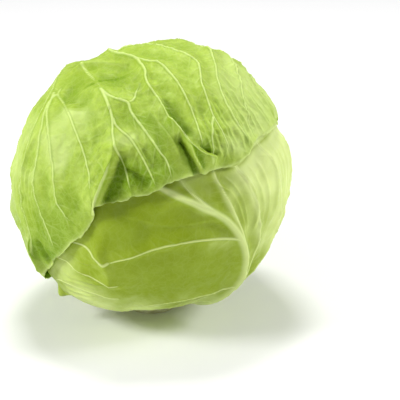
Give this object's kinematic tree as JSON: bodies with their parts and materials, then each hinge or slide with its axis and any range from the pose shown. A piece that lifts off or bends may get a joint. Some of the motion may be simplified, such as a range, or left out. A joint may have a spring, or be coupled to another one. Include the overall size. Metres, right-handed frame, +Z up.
{
  "type": "cabbage head",
  "caption": "Round head of green-white cabbage, trimmed and standing on its cut stalk, with ribbed wrapper leaves lapped over a dense heart.",
  "frame": {"origin": "middle of the stalk's cut face, on which the head stands", "axes": "+Z up through the head; -Y is the front, where the outer leaf's tip crosses the second leaf; +X is on the right as seen from the front"},
  "size_m": [0.1779, 0.178, 0.1759],
  "materials": {
    "stalk": "matte",
    "heart": "satin",
    "outer_leaf": "satin",
    "second_leaf": "satin",
    "inner_leaf": "satin"
  },
  "bodies": {
    "root": {"stalk": "stalk", "heart": "heart", "wrapper_leaf_1": "outer_leaf", "wrapper_leaf_2": "second_leaf", "wrapper_leaf_3": "inner_leaf", "wrapper_leaf_4": "inner_leaf"}
  },
  "joints": []
}
